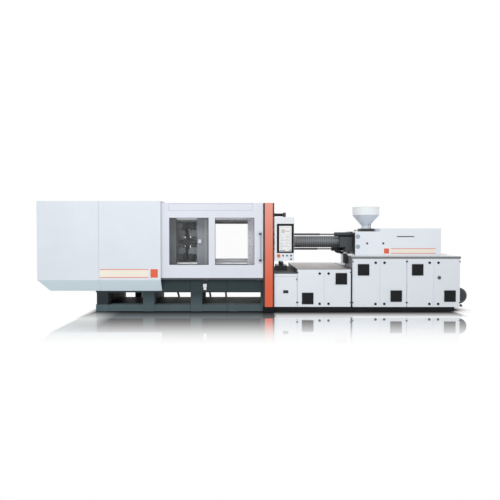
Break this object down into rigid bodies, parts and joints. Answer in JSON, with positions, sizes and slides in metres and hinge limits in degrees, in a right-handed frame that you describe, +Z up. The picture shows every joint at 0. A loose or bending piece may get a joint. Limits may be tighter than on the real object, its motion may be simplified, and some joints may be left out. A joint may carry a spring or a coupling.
{
  "type": "injection moulding machine",
  "caption": "Horizontal toggle-clamp injection moulding machine with covered clamp, sliding safety doors, orange pillar, control panel, ribbed barrel guard, hopper and cabinets.",
  "frame": {"origin": "on the floor, under the middle of the machine's outline", "axes": "+X from the clamp end to the injection end, -Y towards the operator, +Z up"},
  "size_m": [8.716, 2.05, 2.24],
  "materials": {
    "slate_paint": "satin",
    "rubber_pad": "matt",
    "casting": "machined and painted",
    "hard_chrome": "polished",
    "dark_steel": "oiled",
    "white_paint": "satin",
    "orange_paint": "satin",
    "black_paint": "satin",
    "tread_steel": "chequered",
    "grey_paint": "satin",
    "pane": "clear polycarbonate",
    "black_plastic": "fine texture",
    "panel_plastic": "fine texture",
    "screen_glass": "glossy",
    "red_plastic": "glossy",
    "green_plastic": "glossy",
    "teal_plastic": "glossy",
    "blue_plastic": "glossy",
    "dark_plastic": "glossy",
    "bright_steel": "ground",
    "guard_steel": "ribbed sheet",
    "hopper_steel": "spun"
  },
  "bodies": {
    "machine": {"clamp_base": "slate_paint", "levelling_feet": "rubber_pad", "fixed_platen": "casting", "tie_bars": "hard_chrome", "tie_bar_nuts": "dark_steel", "rear_cover": "white_paint", "middle_cover": "white_paint", "door_frames": "dark_steel", "pillars": "orange_paint", "injection_base": "black_paint", "service_cabinet": "white_paint", "drive_cabinet": "white_paint", "tread_plate": "tread_steel", "bed_plate": "grey_paint", "pump_motor": "black_paint", "panel_arm": "black_paint", "carriage_rods": "hard_chrome"},
    "tail": {"tailstock": "casting", "mould_height_nuts": "dark_steel", "clamp_cylinder": "dark_steel"},
    "upper_rear": {"upper_rear_link": "dark_steel"},
    "upper_front": {"upper_front_link": "dark_steel"},
    "upper_cross": {"upper_cross_link": "dark_steel"},
    "lower_rear": {"lower_rear_link": "dark_steel"},
    "lower_front": {"lower_front_link": "dark_steel"},
    "lower_cross": {"lower_cross_link": "dark_steel"},
    "head": {"crosshead": "dark_steel"},
    "platen": {"moving_platen": "casting", "ejector_cylinder": "dark_steel"},
    "ejector": {"ejector_rod": "hard_chrome"},
    "front_door": {"front_door": "white_paint", "front_windows": "pane", "door_handle": "black_plastic"},
    "rear_door": {"rear_door": "white_paint", "rear_windows": "pane"},
    "panel": {"control_panel": "panel_plastic", "panel_screen": "screen_glass"},
    "stop_button": {"stop_button": "red_plastic"},
    "start_button": {"start_button": "green_plastic"},
    "motor_button": {"motor_button": "teal_plastic"},
    "heat_button": {"heat_button": "blue_plastic"},
    "reset_button": {"reset_button": "dark_plastic"},
    "low_door": {"low_door": "white_paint"},
    "mid_left_door": {"mid_left_door": "white_paint"},
    "mid_right_door": {"mid_right_door": "white_paint"},
    "drive_door_1": {"drive_door_1": "white_paint"},
    "drive_door_2": {"drive_door_2": "white_paint"},
    "drive_door_3": {"drive_door_3": "white_paint"},
    "drive_door_4": {"drive_door_4": "white_paint"},
    "carriage": {"injection_carriage": "slate_paint", "carriage_cylinders": "black_paint", "barrel": "bright_steel", "nozzle": "bright_steel", "barrel_guard": "guard_steel", "housing_cover": "white_paint", "hopper_base": "black_paint", "hopper": "hopper_steel"},
    "screw_drive": {"screw_drive": "slate_paint"},
    "screw": {"screw": "bright_steel"},
    "shutoff_slide": {"shutoff_slide": "bright_steel"}
  },
  "joints": [
    {"name": "mould_height", "type": "slide", "parent": "machine", "child": "tail", "axis": [1, 0, 0], "range_m": [-0.4, 0]},
    {"name": "toggle", "type": "hinge", "parent": "tail", "child": "upper_rear", "pos_m": [-1.561, 0, 1.595], "axis": [0, 1, 0], "range_deg": [0, 75]},
    {"name": "upper_knee", "type": "hinge", "parent": "upper_rear", "child": "upper_front", "pos_m": [-1.451, 0, 2.02103], "axis": [0, 1, 0], "range_deg": [-150, 0]},
    {"name": "platen_drive", "type": "hinge", "parent": "upper_front", "child": "platen", "pos_m": [-1.341, 0, 1.595], "axis": [0, 1, 0], "range_deg": [0, 75]},
    {"name": "upper_cross_pivot", "type": "hinge", "parent": "upper_rear", "child": "upper_cross", "pos_m": [-1.521, 0, 1.74992], "axis": [0, 1, 0], "range_deg": [-150, 0]},
    {"name": "crosshead_drive", "type": "hinge", "parent": "upper_cross", "child": "head", "pos_m": [-1.481, 0, 1.595], "axis": [0, 1, 0], "range_deg": [0, 75]},
    {"name": "lower_toggle", "type": "hinge", "parent": "tail", "child": "lower_rear", "pos_m": [-1.561, 0, 1.215], "axis": [0, 1, 0], "range_deg": [-75, 0]},
    {"name": "lower_knee", "type": "hinge", "parent": "lower_rear", "child": "lower_front", "pos_m": [-1.451, 0, 0.78897], "axis": [0, 1, 0], "range_deg": [0, 150]},
    {"name": "lower_cross_pivot", "type": "hinge", "parent": "lower_rear", "child": "lower_cross", "pos_m": [-1.521, 0, 1.06008], "axis": [0, 1, 0], "range_deg": [0, 150]},
    {"name": "ejector_stroke", "type": "slide", "parent": "platen", "child": "ejector", "axis": [1, 0, 0], "range_m": [0, 0.15]},
    {"name": "front_door_slide", "type": "slide", "parent": "machine", "child": "front_door", "axis": [-1, 0, 0], "range_m": [0, 1.45]},
    {"name": "rear_door_slide", "type": "slide", "parent": "machine", "child": "rear_door", "axis": [-1, 0, 0], "range_m": [0, 1.45]},
    {"name": "panel_swivel", "type": "hinge", "parent": "machine", "child": "panel", "pos_m": [0.607, -0.948, 1.9], "axis": [0, 0, 1], "range_deg": [-60, 60]},
    {"name": "stop_press", "type": "slide", "parent": "panel", "child": "stop_button", "axis": [0, 1, 0], "range_m": [0, 0.006], "stiffness_N_per_m": 900, "springref_m": -0.001},
    {"name": "start_press", "type": "slide", "parent": "panel", "child": "start_button", "axis": [0, 1, 0], "range_m": [0, 0.005], "stiffness_N_per_m": 600, "springref_m": -0.001},
    {"name": "motor_press", "type": "slide", "parent": "panel", "child": "motor_button", "axis": [0, 1, 0], "range_m": [0, 0.005], "stiffness_N_per_m": 600, "springref_m": -0.001},
    {"name": "heat_press", "type": "slide", "parent": "panel", "child": "heat_button", "axis": [0, 1, 0], "range_m": [0, 0.005], "stiffness_N_per_m": 600, "springref_m": -0.001},
    {"name": "reset_press", "type": "slide", "parent": "panel", "child": "reset_button", "axis": [0, 1, 0], "range_m": [0, 0.005], "stiffness_N_per_m": 600, "springref_m": -0.001},
    {"name": "low_door_hinge", "type": "hinge", "parent": "machine", "child": "low_door", "pos_m": [0.864, -0.9485, 0.5], "axis": [0, 0, 1], "range_deg": [0, 90]},
    {"name": "mid_left_door_hinge", "type": "hinge", "parent": "machine", "child": "mid_left_door", "pos_m": [0.88, -0.9485, 0.5], "axis": [0, 0, -1], "range_deg": [0, 90]},
    {"name": "mid_right_door_hinge", "type": "hinge", "parent": "machine", "child": "mid_right_door", "pos_m": [1.948, -0.9485, 0.5], "axis": [0, 0, 1], "range_deg": [0, 90]},
    {"name": "drive_door_1_hinge", "type": "hinge", "parent": "machine", "child": "drive_door_1", "pos_m": [2.008, -0.8935, 0.5], "axis": [0, 0, -1], "range_deg": [0, 90]},
    {"name": "drive_door_2_hinge", "type": "hinge", "parent": "machine", "child": "drive_door_2", "pos_m": [3.095, -0.8935, 0.5], "axis": [0, 0, 1], "range_deg": [0, 90]},
    {"name": "drive_door_3_hinge", "type": "hinge", "parent": "machine", "child": "drive_door_3", "pos_m": [3.111, -0.8935, 0.5], "axis": [0, 0, -1], "range_deg": [0, 90]},
    {"name": "drive_door_4_hinge", "type": "hinge", "parent": "machine", "child": "drive_door_4", "pos_m": [4.182, -0.8935, 0.5], "axis": [0, 0, 1], "range_deg": [0, 90]},
    {"name": "carriage_travel", "type": "slide", "parent": "machine", "child": "carriage", "axis": [1, 0, 0], "range_m": [0, 0.3]},
    {"name": "injection_stroke", "type": "slide", "parent": "carriage", "child": "screw_drive", "axis": [1, 0, 0], "range_m": [0, 0.22]},
    {"name": "screw_turn", "type": "hinge", "parent": "screw_drive", "child": "screw", "pos_m": [3, 0, 1.405], "axis": [1, 0, 0], "continuous": true},
    {"name": "shutoff", "type": "slide", "parent": "carriage", "child": "shutoff_slide", "axis": [-1, 0, 0], "range_m": [0, 0.15]}
  ],
  "couplings": [
    {"joint": "upper_knee", "follows": "toggle", "ratio": -2},
    {"joint": "platen_drive", "follows": "toggle", "ratio": 1},
    {"joint": "upper_cross_pivot", "follows": "toggle", "ratio": -2},
    {"joint": "crosshead_drive", "follows": "toggle", "ratio": 1},
    {"joint": "lower_toggle", "follows": "toggle", "ratio": -1},
    {"joint": "lower_knee", "follows": "toggle", "ratio": 2},
    {"joint": "lower_cross_pivot", "follows": "toggle", "ratio": 2}
  ]
}
